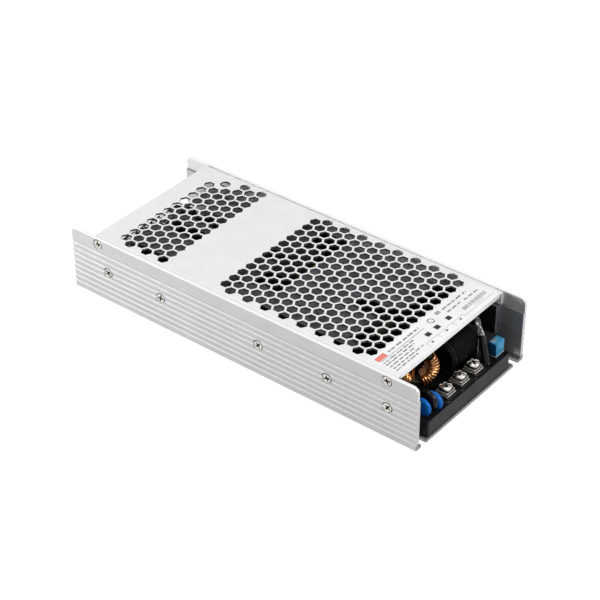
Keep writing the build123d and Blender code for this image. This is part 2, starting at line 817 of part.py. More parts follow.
def build():
    """Make every piece and return them by name."""
    spreader = make_heat_spreader()
    in_base, in_plates, in_washers, in_screws = terminal_row(input_terminals)
    output_row = [mirror(thing, about=Plane.YZ) for thing in terminal_row(output_terminals)]
    out_base, out_plates, out_washers, out_screws = output_row
    lead_wire, lead_sleeve = make_lead()
    fuse_tube, fuse_caps = make_fuse()
    main_core, main_coil = transformer(main_core_place, main_core_size, main_core_height,
                                       main_leg_width, main_yoke, main_coil_overhang)
    aux_core, aux_coil = transformer(aux_core_place, aux_core_size, aux_core_height,
                                     aux_leg_width, aux_yoke, aux_coil_overhang)
    ring_core, ring_winding = make_output_choke()
    pieces = {
        "main_board": make_board(),
        "board_spacers": make_board_spacers(),
        "input_terminal_base": in_base,
        "input_terminal_plates": in_plates,
        "input_terminal_screws": in_screws,
        "output_terminal_base": out_base,
        "output_terminal_plates": out_plates,
        "output_terminal_screws": out_screws,
        "surge_discs": solids_of([disc_part(place) for place in blue_discs]),
        "inrush_thermistor": disc_part(black_disc),
        "film_capacitor": make_film_capacitor(),
        "input_choke_core": make_choke_core(),
        "input_choke_windings": make_choke_windings(),
        "earth_lead": lead_wire,
        "input_capacitors": make_input_cans(),
        "fuse_caps": fuse_caps,
        "transformer_core": main_core,
        "transformer_coil": main_coil,
        "auxiliary_core": aux_core,
        "auxiliary_coil": aux_coil,
        "output_choke_core": ring_core,
        "output_choke_winding": ring_winding,
        "output_capacitors": make_output_cans(),
        "power_transistors": make_transistors(),
        "status_led": make_status_led(),
    }
    pieces["potting_compound"] = make_compound(list(pieces.values()))
    pieces.update({
        "chassis": make_chassis(),
        "top_cover": make_top_cover(),
        "cover_screws": make_cover_screws(),
        "side_screws": make_side_screws(),
        "rating_label": make_rating_label(),
        "heat_spreader_right": spreader,
        "heat_spreader_left": mirror(spreader, about=Plane.XZ),
        "insulating_strips": make_insulating_strips(),
        "tab_screws": make_tab_screws(),
        "potting_tray": make_tray(),
        "insulation_sheet": make_insulation_sheet(),
        "input_terminal_washers": in_washers,
        "output_terminal_washers": out_washers,
        "lead_sleeve": lead_sleeve,
        "fuse_tube": fuse_tube,
    })
    return pieces


os.makedirs("parts", exist_ok=True)
for name, piece in build().items():
    export_step(piece, f"parts/{name}.step")
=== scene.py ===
import bmesh
import bpy
import json
import random
from math import cos, pi, radians, sin
from mathutils import Matrix, Vector


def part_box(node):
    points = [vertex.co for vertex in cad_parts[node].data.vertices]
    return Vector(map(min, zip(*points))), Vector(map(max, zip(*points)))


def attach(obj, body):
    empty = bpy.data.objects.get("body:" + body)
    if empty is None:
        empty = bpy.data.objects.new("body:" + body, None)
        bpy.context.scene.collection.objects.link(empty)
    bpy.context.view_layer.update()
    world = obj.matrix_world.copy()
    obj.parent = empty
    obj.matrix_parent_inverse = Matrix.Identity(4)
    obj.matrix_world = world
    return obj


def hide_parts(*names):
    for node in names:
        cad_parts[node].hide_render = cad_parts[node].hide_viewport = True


# Lengths are in metres. The frame is the part's own: +X to the input end, +Z up.
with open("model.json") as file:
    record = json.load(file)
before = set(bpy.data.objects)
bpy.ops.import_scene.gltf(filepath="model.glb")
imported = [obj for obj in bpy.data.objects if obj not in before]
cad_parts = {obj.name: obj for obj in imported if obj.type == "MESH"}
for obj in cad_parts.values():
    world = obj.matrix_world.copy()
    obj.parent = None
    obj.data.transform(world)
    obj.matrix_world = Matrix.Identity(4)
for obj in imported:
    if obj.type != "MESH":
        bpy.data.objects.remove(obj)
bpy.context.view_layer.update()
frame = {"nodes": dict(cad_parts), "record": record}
nodes = frame["nodes"]
mm = 0.001
random.seed(11)

# The camera that took the photograph: the picture's width and the focal length in pixels, its
# direction in degrees and where the origin lies from it
picture = 600
focal = 1855.82
azimuth = radians(38.629)
elevation = radians(35.473)
roll = radians(-0.195)
aim = Vector((3.167, 9.974, 883.111)) * mm

# How high the ledges inside the walls lie
ledge_level = 26.8 * mm

# Countersunk screws in the walls: the head, its cross, whose deep faces are painted dark as
# shade, and the ring about it, painted dark as the shadow in its gap, whose places are shares of
# the head's radius
flat_head_radius = 2.5 * mm
flat_head_sink = 0.16 * mm
flat_shank_radius = 1.42 * mm
flat_middle_share = 0.72
flat_ring_shares = (0.88, 0.90)
flat_ring_drop = 0.03 * mm
flat_rim_drop = 0.14 * mm
cross_half_width = 0.5 * mm
cross_reach = 1.65 * mm
cross_depth = 1.1 * mm
recess_slope = 0.32
recess_shade = 0.18 * mm

# Pan-head screws of the terminals: the crown, the shoulder and the side under it, painted dark as
# shadow, and the slot and cross, whose deep faces are painted dark as shade
pan_head_height = 2.2 * mm
pan_crown = 0.55 * mm
pan_crown_share = 0.86
pan_shoulder = 0.75 * mm
pan_side_height = 0.55 * mm
pan_shade_height = 0.5 * mm
pan_foot_height = 0.12 * mm
pan_foot_share = 0.96
pan_cross_reach = 1.9 * mm
slot_half_width = 0.62 * mm
slot_depth = 1.15 * mm
slot_turn = radians(-51)
slot_spread = radians(16)

# Square washers of the terminals: a plate between two lips as high as the washer. The lips stand
# out from the plate, above and below it, by a share of that height.
washer_lip_share = 0.22
washer_corner = 0.6 * mm
washer_ease = 0.12 * mm
washer_lip = 0.45 * mm
washer_lip_corner = 0.18 * mm
washer_lip_ease = 0.1 * mm

# The input choke: how far it is turned about the vertical, its windings and its core inside them
choke_turn = radians(54.0)
choke_outer = 9.3 * mm
choke_bore = 5.2 * mm
choke_layer = 0.4 * mm
choke_half_width = 3.8 * mm
choke_wire = 0.62 * mm
choke_turns = 11
choke_sweep = radians(126.0)
choke_lean = radians(-12.0)
choke_corner = 1.85 * mm
choke_core_gap = 0.7 * mm
choke_middle = sum(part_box("input_choke_core"), Vector()) / 2
choke_along = Vector((cos(choke_turn), sin(choke_turn), 0))
choke_axis = Vector((sin(choke_turn), -cos(choke_turn), 0))

# The dipped discs, from the near wall: how far each lies from its CAD solid in millimetres, and
# its radius. A low fullness makes the faces flat and the rim full. Leg places are shares of the
# radius.
blue_disc_shifts = ((1.1, -0.5, -0.5), (0.2, -0.1, -0.8))
blue_disc_radii = (4.6 * mm, 4.8 * mm)
black_disc_shift = (0.9, 0.3, 0.4)
black_disc_radius = 5.2 * mm
disc_fullness = 0.36
disc_leg_share = 0.48
disc_leg_top_share = 0.75
disc_leg_radius = 0.45 * mm

# The box capacitor: its case and legs, the pale dab on top and the pale rim of resin at its foot.
# Each blob of the dab has half its sizes and its shift, in millimetres.
compound_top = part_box("potting_compound")[1].z
box_corner = 0.35 * mm
box_ease = 0.28 * mm
box_sink = 0.2 * mm
box_leg_shift = 1.3 * mm
box_leg_radius = 0.4 * mm
box_leg_overlap = 0.3 * mm
dab_place = (1.3, 1.9)
dab_blobs = ((0.95, 1.5, 0, 0), (0.6, 0.9, 0.3, 1.7))
dab_height = 0.14
rim_margin = 0.12 * mm
rim_sink = 0.1 * mm
rim_height = 0.22 * mm
rim_corner = 0.3 * mm
rim_ease = 0.06 * mm

# The earth lead's route and a stray strand's, in millimetres. The route keeps to the CAD solid's
# along the sleeve, and its bare bend rises up to 4 mm above the solid's.
lead_route = ((97.6, 18.6, 7.5), (94.2, 20.2, 16.5), (92.0, 21.0, 23.8), (87.4, 22.4, 27.6),
              (86.2, 27.0, 25.0), (87.0, 28.6, 6.7))
stray_route = ((89.2, 21.8, 24.5), (90.9, 20.6, 20.4), (91.6, 19.4, 17.0), (92.4, 18.2, 13.5),
               (92.6, 18.0, 9.8))
stray_radius = 0.28 * mm
stray_solder_radius = 0.52 * mm
sleeve_extra = 1.4 * mm
sleeve_radius = 1.8 * mm
sleeve_wrinkles = ((0.035, 1.9), (0.02, 4.3))
strand_radius = 0.34 * mm
strand_offset = 0.6 * mm
strand_count = 7
strand_twist = 420.0
strand_fray = 8.0 * mm
strand_loosening = 0.5
strand_overlap = 3

# The sleeve's cut end and the fillet of compound at its foot, in millimetres: radius and level
sleeve_cut_outline = ((0.5, 0), (1.3, 0), (1.3, 0.25), (0.5, 0.25))
sleeve_foot_outline = ((0, 1.0), (0.9, 0.9), (1.3, 0.5), (1.9, 0.12), (2.1, -0.1), (0, -0.1))
sleeve_foot_shift = (-0.7, 0.3)

# The lying capacitors' outline at each end: a share of the radius, and millimetres from the end
can_crimped_end = ((0, 0.7), (0.80, 0.7), (0.84, 0.15), (0.90, 0), (0.97, 0.25), (1, 0.9),
                   (1, 2.2), (0.955, 2.8), (1, 3.4))
can_closed_end = ((1, 0.8), (0.97, 0.25), (0.90, 0), (0.80, 0), (0.78, 0.3), (0, 0.3))

# The label's print, in millimetres. A field or rule goes from X to X and from Y to Y. A line of
# words has its middle in X, its two ends in Y and its height.
ink_height = 0.02 * mm
label_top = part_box("rating_label")[1].z - ink_height
label_corner = 0.8 * mm
red_field = (74.6, 77.6, -37.3, -30.9)
grey_field = (75.2, 77.2, 6.6, 9.6)
title_line = (76.1, -28.7, -6.4, 1.1)
title_rule = (78.1, 78.32, -36.6, -5.2)
near_lines = ((79.6, -37.2, -14.9, 0.85), (81.3, -37.2, -16.8, 0.85), (83.2, -37.2, -19.6, 0.85),
              (85.1, -37.2, -15.2, 0.85), (86.8, -37.2, -21.4, 0.85))
far_lines = ((76.5, 11.6, 30.0, 0.95), (79.4, 11.5, 21.3, 0.95), (79.9, 24.0, 34.5, 0.95))
far_rule = (85.6, 85.85, 23.4, 31.2)
terminal_rules = ((85.55, 85.75, -14.1, 14.3), (86.95, 87.15, 14.3, 37.0),
                  (85.75, 87.15, 14.1, 14.3))
terminal_ticks = (-14.1, -5.4, 5.8)
tick_reach = (85.6, 88.6)
tick_width = 0.2
terminal_dots = (-10.8, 0.0, 10.8)
dot_reach = (86.6, 87.4)
dot_half_width = 0.7
square_marks = ((-9.1, -6.1), (-2.2, 0.8), (6.7, 9.5))
square_reach = (81.0, 83.6)
ring_mark = (77.4, 1.3, 1.75, 0.42)
bars_reach = (82.6, 84.8)
bars_ends = (17.6, 34.6)
bar_widths = (0.22, 0.32, 0.5)
bar_gaps = (0.24, 0.34)
word_lengths = (1.6, 4.4)
word_gap = 0.55
stroke_widths = (0.28, 0.5)
stroke_gap = 0.22
stroke_cuts = (0, 0, 0.12, 0.3)


def make_camera():
    """The photograph's camera."""
    back = Vector((sin(azimuth) * cos(elevation), -cos(azimuth) * cos(elevation), sin(elevation)))
    right = Vector((cos(azimuth), sin(azimuth), 0))
    up = back.cross(right)
    right, up = right * cos(roll) + up * sin(roll), up * cos(roll) - right * sin(roll)
    data = bpy.data.cameras.new("camera")
    data.sensor_width = 36
    data.lens = focal * data.sensor_width / picture
    data.clip_start = 0.05
    data.clip_end = 20
    camera = bpy.data.objects.new("camera", data)
    place = right * aim.x + up * aim.y + back * aim.z
    turn = Matrix((right, up, back)).transposed().to_4x4()
    camera.matrix_world = Matrix.Translation(place) @ turn
    bpy.context.scene.collection.objects.link(camera)
    bpy.context.scene.camera = camera


# Materials, by the names of the finishes

materials = {}


class Nodes:
    """A short way to write a node tree."""

    def __init__(self, tree):
        self.tree = tree

    def add(self, kind, **values):
        node = self.tree.nodes.new(kind)
        for key, value in values.items():
            setattr(node, key, value)
        return node

    def join(self, output, entry):
        self.tree.links.new(output, entry)

    def place(self, stretch=(1, 1, 1)):
        """Object coordinates, stretched, for a texture."""
        coordinates = self.add("ShaderNodeTexCoord")
        mapping = self.add("ShaderNodeMapping")
        mapping.inputs["Scale"].default_value = stretch
        self.join(coordinates.outputs["Object"], mapping.inputs["Vector"])
        return mapping.outputs["Vector"]

    def noise(self, scale, detail=4.0, stretch=(1, 1, 1)):
        node = self.add("ShaderNodeTexNoise")
        node.inputs["Scale"].default_value = scale
        node.inputs["Detail"].default_value = detail
        node.inputs["Roughness"].default_value = 0.55
        self.join(self.place(stretch), node.inputs["Vector"])
        return node.outputs["Fac"]

    def spread(self, value, low, high, start=0.3, end=0.7):
        """The value mapped from start..end to low..high."""
        node = self.add("ShaderNodeMapRange")
        node.inputs["From Min"].default_value = start
        node.inputs["From Max"].default_value = end
        node.inputs["To Min"].default_value = low
        node.inputs["To Max"].default_value = high
        self.join(value, node.inputs["Value"])
        return node.outputs["Result"]

    def rise(self, value, start, end):
        """A mask: nought up to the start, one past the end."""
        return self.spread(value, 0, 1, start, end)

    def fall(self, value, start, end):
        """A mask: one up to the start, nought past the end."""
        return self.spread(value, 1, 0, start, end)

    def blend(self, value, first, second):
        """A colour between two, each a colour or another node's output."""
        node = self.add("ShaderNodeMix", data_type="RGBA")
        for entry, colour in (("A", first), ("B", second)):
            if isinstance(colour, tuple):
                node.inputs[entry].default_value = (*colour, 1)
            else:
                self.join(colour, node.inputs[entry])
        self.join(value, node.inputs["Factor"])
        return node.outputs["Result"]

    def choose(self, mask, first, second):
        """The first shader where the mask is nought and the second where it is one."""
        node = self.add("ShaderNodeMixShader")
        self.join(mask, node.inputs["Fac"])
        self.join(first, node.inputs[1])
        self.join(second, node.inputs[2])
        return node.outputs["Shader"]

    def rounded(self, radius):
        """The normal of the form as if its edges were rounded."""
        node = self.add("ShaderNodeBevel", samples=6)
        node.inputs["Radius"].default_value = radius
        return node.outputs["Normal"]

    def edges(self, rounded):
        """One along the form's edges and nought on its faces."""
        geometry = self.add("ShaderNodeNewGeometry")
        node = self.add("ShaderNodeVectorMath", operation="DOT_PRODUCT")
        self.join(rounded, node.inputs[0])
        self.join(geometry.outputs["Normal"], node.inputs[1])
        return self.fall(node.outputs["Value"], 0.8, 0.99)

    def axis(self, vector, name):
        node = self.add("ShaderNodeSeparateXYZ")
        self.join(vector, node.inputs["Vector"])
        return node.outputs[name]

    def along(self, name):
        """The place along one of the part's axes."""
        return self.axis(self.place(), name)

    def size_of(self, value):
        """The value without its sign."""
        node = self.add("ShaderNodeMath", operation="ABSOLUTE")
        self.join(value, node.inputs[0])
        return node.outputs["Value"]

    def both(self, first, second, operation="MULTIPLY"):
        """Where two masks overlap."""
        node = self.add("ShaderNodeMath", operation=operation)
        self.join(first, node.inputs[0])
        self.join(second, node.inputs[1])
        return node.outputs["Value"]

    def either(self, first, second):
        """Where one mask or the other shows."""
        return self.both(first, second, "MAXIMUM")

    def facing(self, name):
        """How far the surface faces along an axis, from -1 to 1."""
        return self.axis(self.add("ShaderNodeNewGeometry").outputs["Normal"], name)


class Finish(Nodes):
    """The node tree of a new material."""

    def __init__(self, name):
        self.material = bpy.data.materials.new(name)
        self.material.use_nodes = True
        super().__init__(self.material.node_tree)
        self.shader = self.tree.nodes["Principled BSDF"]

    def bump(self, value, strength, distance, normal=None):
        node = self.add("ShaderNodeBump")
        node.inputs["Strength"].default_value = strength
        node.inputs["Distance"].default_value = distance
        self.join(value, node.inputs["Height"])
        if normal:
            self.join(normal, node.inputs["Normal"])
        self.join(node.outputs["Normal"], self.shader.inputs["Normal"])


def finish_of(name, dark, light, rough, *, scale, detail=4.0, stretch=(1, 1, 1), metal=0.0,
              bump=0.1, depth=0.05 * mm, coat=0.0, specular=0.5, edge=0.0, painted_edge_highlight=None,
              painted_shading=()):
    """Make a finish that drifts between two colours and two roughnesses, with a fine bump. An
    edge colour, where given, is a highlight painted along the edges. The special masks paint
    light and
    shade: each brings the colour that it paints."""
    made = Finish(name)
    grain = made.noise(scale, detail, stretch=stretch)
    broad = made.noise(scale / 12, 2.0)
    shader = made.shader.inputs
    shader["Metallic"].default_value = metal
    shader["Coat Weight"].default_value = coat
    shader["Specular IOR Level"].default_value = specular
    colour = made.blend(made.spread(broad, 0, 1), dark, light)
    rounded = made.rounded(edge) if edge else None
    if painted_edge_highlight:
        colour = made.blend(made.edges(rounded), colour, painted_edge_highlight)
    for mask, other in painted_shading:
        colour = made.blend(mask(made), colour, other)
    made.join(colour, shader["Base Color"])
    made.join(made.spread(grain, *rough), shader["Roughness"])
    made.bump(grain, bump, depth, rounded)
    materials[name] = made.material


def facing_up(made):
    """One on level faces and nought on upright ones."""
    return made.rise(made.facing("Z"), 0.7, 0.95)


def facing_near_wall(made):
    """One on faces that look at the near wall, which shades them."""
    return made.fall(made.facing("Y"), -0.9, -0.6)


def upright(made):
    """One on upright faces, whichever way they face."""
    return made.fall(made.size_of(made.facing("Z")), 0.3, 0.6)


def flank_below(made):
    """One on the lower flanks of the walls' grooves, which face up."""
    return made.rise(made.facing("Z"), 0.05, 0.45)


def flank_above(made):
    """One on the upper flanks of the walls' grooves, which face down."""
    return made.fall(made.facing("Z"), -0.4, -0.05)


def case_rim(made):
    """One on the walls' top rims, which are painted light as a highlight."""
    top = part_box("chassis")[1].z
    return made.rise(made.along("Z"), top - 0.5 * mm, top - 0.3 * mm)


def inner_band(made):
    """One on the walls' inner faces above the ledges."""
    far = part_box("chassis")[1].y
    height = made.rise(made.along("Z"), ledge_level + 0.3 * mm, ledge_level + 0.5 * mm)
    across = made.fall(made.size_of(made.along("Y")), far - 0.2 * mm, far - 0.1 * mm)
    return made.both(height, across)


def beside_cover(made):
    """One on the walls' inner faces along the cover's edges."""
    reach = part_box("top_cover")[1].x - 5 * mm
    return made.both(inner_band(made),
                     made.fall(made.size_of(made.along("X")), reach, reach + 1 * mm))


def wall_inside(made):
    """One on the channel's inner faces below the ledges, at the shaded input end."""
    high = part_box("chassis")[1]
    sideways = made.rise(made.size_of(made.facing("Y")), 0.7, 0.9)
    across = made.fall(made.size_of(made.along("Y")), high.y - 1.1 * mm, high.y - 0.9 * mm)
    below = made.fall(made.along("Z"), ledge_level - 0.2 * mm, ledge_level)
    end = made.rise(made.along("X"), 0, high.x / 2)
    return made.both(made.both(made.both(sideways, across), below), end)


def floor_end(made):
    """One on the floor's cut input end and on the foot of the walls."""
    height = made.along("Z")
    front = made.rise(made.facing("X"), 0.7, 0.9)
    cut = made.both(front, made.fall(height, 3.0 * mm, 3.3 * mm))
    foot = made.fall(height, 0.25 * mm, 0.45 * mm)
    return made.either(cut, foot)


def cover_sides(made):
    """One on the cover's two flanges, which lie against the walls."""
    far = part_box("top_cover")[1].y
    across = made.rise(made.size_of(made.along("Y")), far - 1.3 * mm, far - 1.1 * mm)
    return made.both(upright(made), across)


def sheet_edge(made):
    """One on the insulating sheet's far edge, where the bright wall lights it."""
    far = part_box("insulation_sheet")[1].y
    return made.rise(made.along("Y"), far - 4.5 * mm, far - 2.5 * mm)


def sheet_corner(made):
    """One on the insulating sheet's rear far corner, which the open bay lights."""
    low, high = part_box("insulation_sheet")
    across = made.rise(made.along("Y"), high.y - 9 * mm, high.y - 3 * mm)
    return made.both(across, made.fall(made.along("X"), low.x + 12 * mm, low.x + 30 * mm))


def vent_walls(made):
    """One on the cut walls of the vents, nought on the sheet's faces, bends and front lip."""
    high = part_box("top_cover")[1]
    inside = upright(made)
    for name, reach in (("Y", high.y), ("X", high.x)):
        near = made.fall(made.size_of(made.along(name)), reach - 3.0 * mm, reach - 2.9 * mm)
        inside = made.both(inside, near)
    return inside


def make_metals():
    # The case: its edges are painted lighter as a highlight. The groove flanks that face up are
    # painted light and those that face down dark. Level faces are painted dark. The inner faces
    # at the input end, the floor's cut end and the walls' foot are painted dark as shade. The
    # band above the ledges, the stretch beside the cover and the rims are painted light.
    finish_of("case_aluminium", (0.43, 0.432, 0.436), (0.46, 0.462, 0.466), (0.26, 0.38),
              metal=0.55, scale=900, stretch=(0.02, 1, 1), bump=0.04, depth=0.02 * mm,
              edge=0.15 * mm, painted_edge_highlight=(0.50, 0.502, 0.506),
              painted_shading=((flank_above, (0.37, 0.37, 0.373)), (flank_below, (0.62, 0.622, 0.626)),
                       (facing_up, (0.22, 0.22, 0.222)), (wall_inside, (0.30, 0.302, 0.308)),
                       (floor_end, (0.22, 0.216, 0.21)), (inner_band, (0.62, 0.622, 0.627)),
                       (beside_cover, (0.90, 0.902, 0.907)), (case_rim, (0.86, 0.862, 0.87))))
    # The cover: its edges are painted lighter as a highlight, the vents' cut walls dark as shade
    # and the flanges light.
    finish_of("cover_sheet", (0.75, 0.75, 0.755), (0.79, 0.79, 0.795), (0.34, 0.46), metal=0.4,
              scale=1200, bump=0.05, depth=0.02 * mm, edge=0.1 * mm,
              painted_edge_highlight=(0.92, 0.92, 0.93),
              painted_shading=((vent_walls, (0.10, 0.10, 0.105)), (cover_sides, (0.95, 0.95, 0.955))))
    finish_of("nickel_screw", (0.36, 0.335, 0.31), (0.86, 0.83, 0.79), (0.12, 0.28), metal=1.0,
              scale=6000, edge=0.08 * mm)
    finish_of("bar_aluminium", (0.30, 0.31, 0.33), (0.38, 0.39, 0.41), (0.34, 0.5), metal=0.9,
              scale=800, stretch=(0.05, 1, 1), edge=0.15 * mm)
    # The plates: their edges are painted lighter as a highlight and their level faces dark as the
    # reflection of the dark bay.
    finish_of("terminal_plate", (0.80, 0.77, 0.72), (0.92, 0.90, 0.86), (0.2, 0.34), metal=0.3,
              scale=900, edge=0.12 * mm, painted_edge_highlight=(0.92, 0.90, 0.86),
              painted_shading=((facing_up, (0.10, 0.085, 0.075)),))
    finish_of("copper_wire", (0.15, 0.040, 0.010), (0.70, 0.30, 0.085), (0.10, 0.22), metal=0.75,
              scale=3200, coat=0.8)
    finish_of("lead_wire", (0.10, 0.095, 0.09), (0.52, 0.50, 0.47), (0.18, 0.34), metal=1.0,
              scale=3600, bump=0.3)
    finish_of("fuse_metal", (0.60, 0.60, 0.58), (0.74, 0.73, 0.71), (0.2, 0.34), metal=1.0,
              scale=900, edge=0.1 * mm)


def make_plastics():
    finish_of("label_film", (0.81, 0.81, 0.815), (0.85, 0.85, 0.855), (0.36, 0.5), scale=1800,
              bump=0.03, specular=0.3)
    finish_of("black_epoxy", (0.014, 0.014, 0.016), (0.022, 0.022, 0.024), (0.5, 0.65),
              scale=1600, specular=0.1, edge=0.15 * mm)
    finish_of("dark_strip", (0.008, 0.008, 0.009), (0.014, 0.014, 0.016), (0.55, 0.7), scale=900,
              specular=0.1)
    finish_of("tray_film", (0.012, 0.0122, 0.0135), (0.017, 0.0172, 0.019), (0.34, 0.5),
              scale=420, bump=0.16, depth=0.08 * mm, specular=0.1, edge=0.2 * mm)
    finish_of("compound", (0.003, 0.003, 0.0035), (0.006, 0.006, 0.0065), (0.10, 0.26), scale=160,
              detail=3.0, bump=0.3, depth=0.4 * mm, specular=0.12)
    finish_of("board", (0.01, 0.08, 0.03), (0.015, 0.11, 0.045), (0.35, 0.5), scale=700)
    finish_of("spacer", (0.70, 0.70, 0.66), (0.76, 0.76, 0.72), (0.45, 0.6), scale=900)
    # The base: its edges are painted grey as a highlight.
    finish_of("terminal_base", (0.006, 0.006, 0.007), (0.011, 0.011, 0.012), (0.24, 0.36),
              scale=900, specular=0.12, edge=0.2 * mm, painted_edge_highlight=(0.11, 0.11, 0.115))
    finish_of("blue_coating", (0.001, 0.10, 0.40), (0.002, 0.13, 0.47), (0.22, 0.4), scale=450,
              bump=0.3, depth=0.2 * mm, coat=0.05, specular=0.12)
    finish_of("black_coating", (0.004, 0.003, 0.003), (0.009, 0.007, 0.007), (0.16, 0.3),
              scale=450, bump=0.3, depth=0.2 * mm, coat=0.15, specular=0.12)
    # The box: its edges are painted lighter as a highlight and its faces towards the near wall
    # dark as shade.
    finish_of("film_case", (0.03, 0.18, 0.33), (0.04, 0.22, 0.39), (0.28, 0.4), scale=700,
              bump=0.06, specular=0.15, edge=0.12 * mm, painted_edge_highlight=(0.10, 0.36, 0.62),
              painted_shading=((facing_near_wall, (0.004, 0.07, 0.16)),))
    finish_of("ferrite", (0.010, 0.010, 0.011), (0.018, 0.018, 0.020), (0.5, 0.7), scale=900,
              specular=0.12, edge=0.2 * mm)
    finish_of("sleeve", (0.002, 0.002, 0.002), (0.005, 0.005, 0.005), (0.16, 0.3), scale=1100,
              bump=0.4, depth=0.1 * mm, specular=0.2)
    # Edges painted grey as a highlight on the cans' rims.
    finish_of("can_black", (0.002, 0.002, 0.003), (0.004, 0.004, 0.005), (0.42, 0.56), scale=700,
              specular=0.02, edge=0.2 * mm, painted_edge_highlight=(0.06, 0.06, 0.062))
    finish_of("fuse_glass", (0.40, 0.37, 0.32), (0.46, 0.43, 0.38), (0.2, 0.3), scale=900)
    finish_of("yellow_tape", (0.24, 0.18, 0.015), (0.32, 0.24, 0.02), (0.25, 0.4), scale=500)
    finish_of("light_body", (0.20, 0.23, 0.21), (0.26, 0.29, 0.27), (0.15, 0.25), scale=900)
    # The sheet: its far edge and its rear far corner are painted light, as the light that falls
    # on them there.
    finish_of("insulation", (0.050, 0.047, 0.055), (0.165, 0.156, 0.176), (0.4, 0.58), scale=3000,
              specular=0.12,
              painted_shading=((sheet_edge, (0.40, 0.375, 0.36)), (sheet_corner, (0.46, 0.46, 0.465))))


def make_small_finishes():
    """The finishes of inks, rims and recesses, which aren't slots of the record."""
    finish_of("ink_dark", (0.012, 0.012, 0.014), (0.03, 0.03, 0.033), (0.4, 0.5), scale=1500,
              specular=0.2)
    finish_of("ink_grey", (0.24, 0.24, 0.26), (0.32, 0.32, 0.34), (0.4, 0.5), scale=1500)
    finish_of("ink_red", (0.66, 0.16, 0.12), (0.76, 0.24, 0.19), (0.4, 0.5), scale=1500)
    finish_of("resin_dab", (0.10, 0.12, 0.15), (0.34, 0.36, 0.40), (0.3, 0.45), scale=1400)
    finish_of("ring_coating", (0.004, 0.0036, 0.001), (0.014, 0.012, 0.003), (0.3, 0.45),
              scale=700, specular=0.1)
    # Edges painted grey as a highlight on the lying cans' rims.
    finish_of("crimped_sleeve", (0.002, 0.002, 0.003), (0.004, 0.004, 0.005), (0.42, 0.56),
              scale=700, specular=0.02, edge=0.2 * mm, painted_edge_highlight=(0.20, 0.20, 0.205))
    finish_of("dull_tape", (0.030, 0.026, 0.016), (0.045, 0.038, 0.022), (0.4, 0.55), scale=500,
              specular=0.15)
    # Painted shade for the deep faces of the screws' recesses and the gap under their heads.
    finish_of("recess", (0.008, 0.006, 0.005), (0.03, 0.025, 0.02), (0.4, 0.6), metal=0.5,
              scale=1500)
    finish_of("resin_rim", (0.40, 0.40, 0.42), (0.62, 0.62, 0.64), (0.3, 0.45), scale=900)


def paint_frame():
    """Give each CAD node the finish of its slot, or its own."""
    own = {"auxiliary_coil": "dull_tape"}
    for row in frame["record"]["subparts"]:
        mesh = nodes[row["node"]].data
        mesh.materials.clear()
        mesh.materials.append(materials[own.get(row["node"], row["material_slot"])])


# Mesh helpers


def turns(steps):
    """The angles of even steps around a full turn."""
    return [2 * pi * step / steps for step in range(steps)]


def solid_boxes(node):
    """The lowest and highest corner of every separate solid of a CAD node."""
    work = bmesh.new()
    work.from_mesh(nodes[node].data)
    bmesh.ops.remove_doubles(work, verts=work.verts, dist=0.001 * mm)
    left = set(work.verts)
    boxes = []
    while left:
        reach = [left.pop()]
        found = []
        while reach:
            vertex = reach.pop()
            found.append(vertex.co.copy())
            for edge in vertex.link_edges:
                other = edge.other_vert(vertex)
                if other in left:
                    left.discard(other)
                    reach.append(other)
        low = Vector(min(point[axis] for point in found) for axis in range(3))
        high = Vector(max(point[axis] for point in found) for axis in range(3))
        boxes.append((low, high))
    work.free()
    return sorted(boxes, key=lambda box: (round(box[0].x, 4), round(box[0].y, 4)))


def keep(name, work, slot, replaced=(), finish=None, sharp=35.0):
    """Turn a bmesh into a piece that rides on the part's one body. Its second finish, which a
    face may name, is painted shade: the dark of a screw's recess and of the gap under its head."""
    bmesh.ops.recalc_face_normals(work, faces=work.faces)
    mesh = bpy.data.meshes.new(name)
    work.to_mesh(mesh)
    work.free()
    mesh.polygons.foreach_set("use_smooth", [True] * len(mesh.polygons))
    mesh.set_sharp_from_angle(angle=radians(sharp))
    mesh.materials.append(materials[finish or slot])
    mesh.materials.append(materials["recess"])
    piece = bpy.data.objects.new(name, mesh)
    bpy.context.scene.collection.objects.link(piece)
    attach(piece, "root")
    if replaced:
        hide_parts(*replaced)


def loft(work, rings):
    """Join rings of points with the same count, closed at both ends."""
    rows = [[work.verts.new(point) for point in ring] for ring in rings]
    for first, second in zip(rows, rows[1:]):
        for number in range(len(first)):
            after = (number + 1) % len(first)
            work.faces.new((first[number], second[number], second[after], first[after]))
    work.faces.new(rows[0])
    work.faces.new(rows[-1])


def rounded_ring(x, y, z, half_x, half_y, radius, steps=5):
    """A level rectangle with round corners, as a ring of points."""
    ring = []
    for quarter in range(4):
        sign_x = 1 if quarter in (0, 3) else -1
        sign_y = 1 if quarter in (0, 1) else -1
        for step in range(steps + 1):
            angle = (quarter + step / steps) * pi / 2
            ring.append(Vector((x + sign_x * (half_x - radius) + radius * cos(angle),
                                y + sign_y * (half_y - radius) + radius * sin(angle), z)))
    return ring


def soft_slab(work, low, high, radius, edge):
    """A slab with round corners and eased top and bottom edges."""
    x, y = (low.x + high.x) / 2, (low.y + high.y) / 2
    half_x, half_y = (high.x - low.x) / 2, (high.y - low.y) / 2
    rings = []
    for inset, level in ((edge, low.z), (edge * 0.3, low.z + edge * 0.3), (0, low.z + edge),
                         (0, high.z - edge), (edge * 0.3, high.z - edge * 0.3), (edge, high.z)):
        rings.append(rounded_ring(x, y, level, half_x - inset, half_y - inset, radius))
    loft(work, rings)


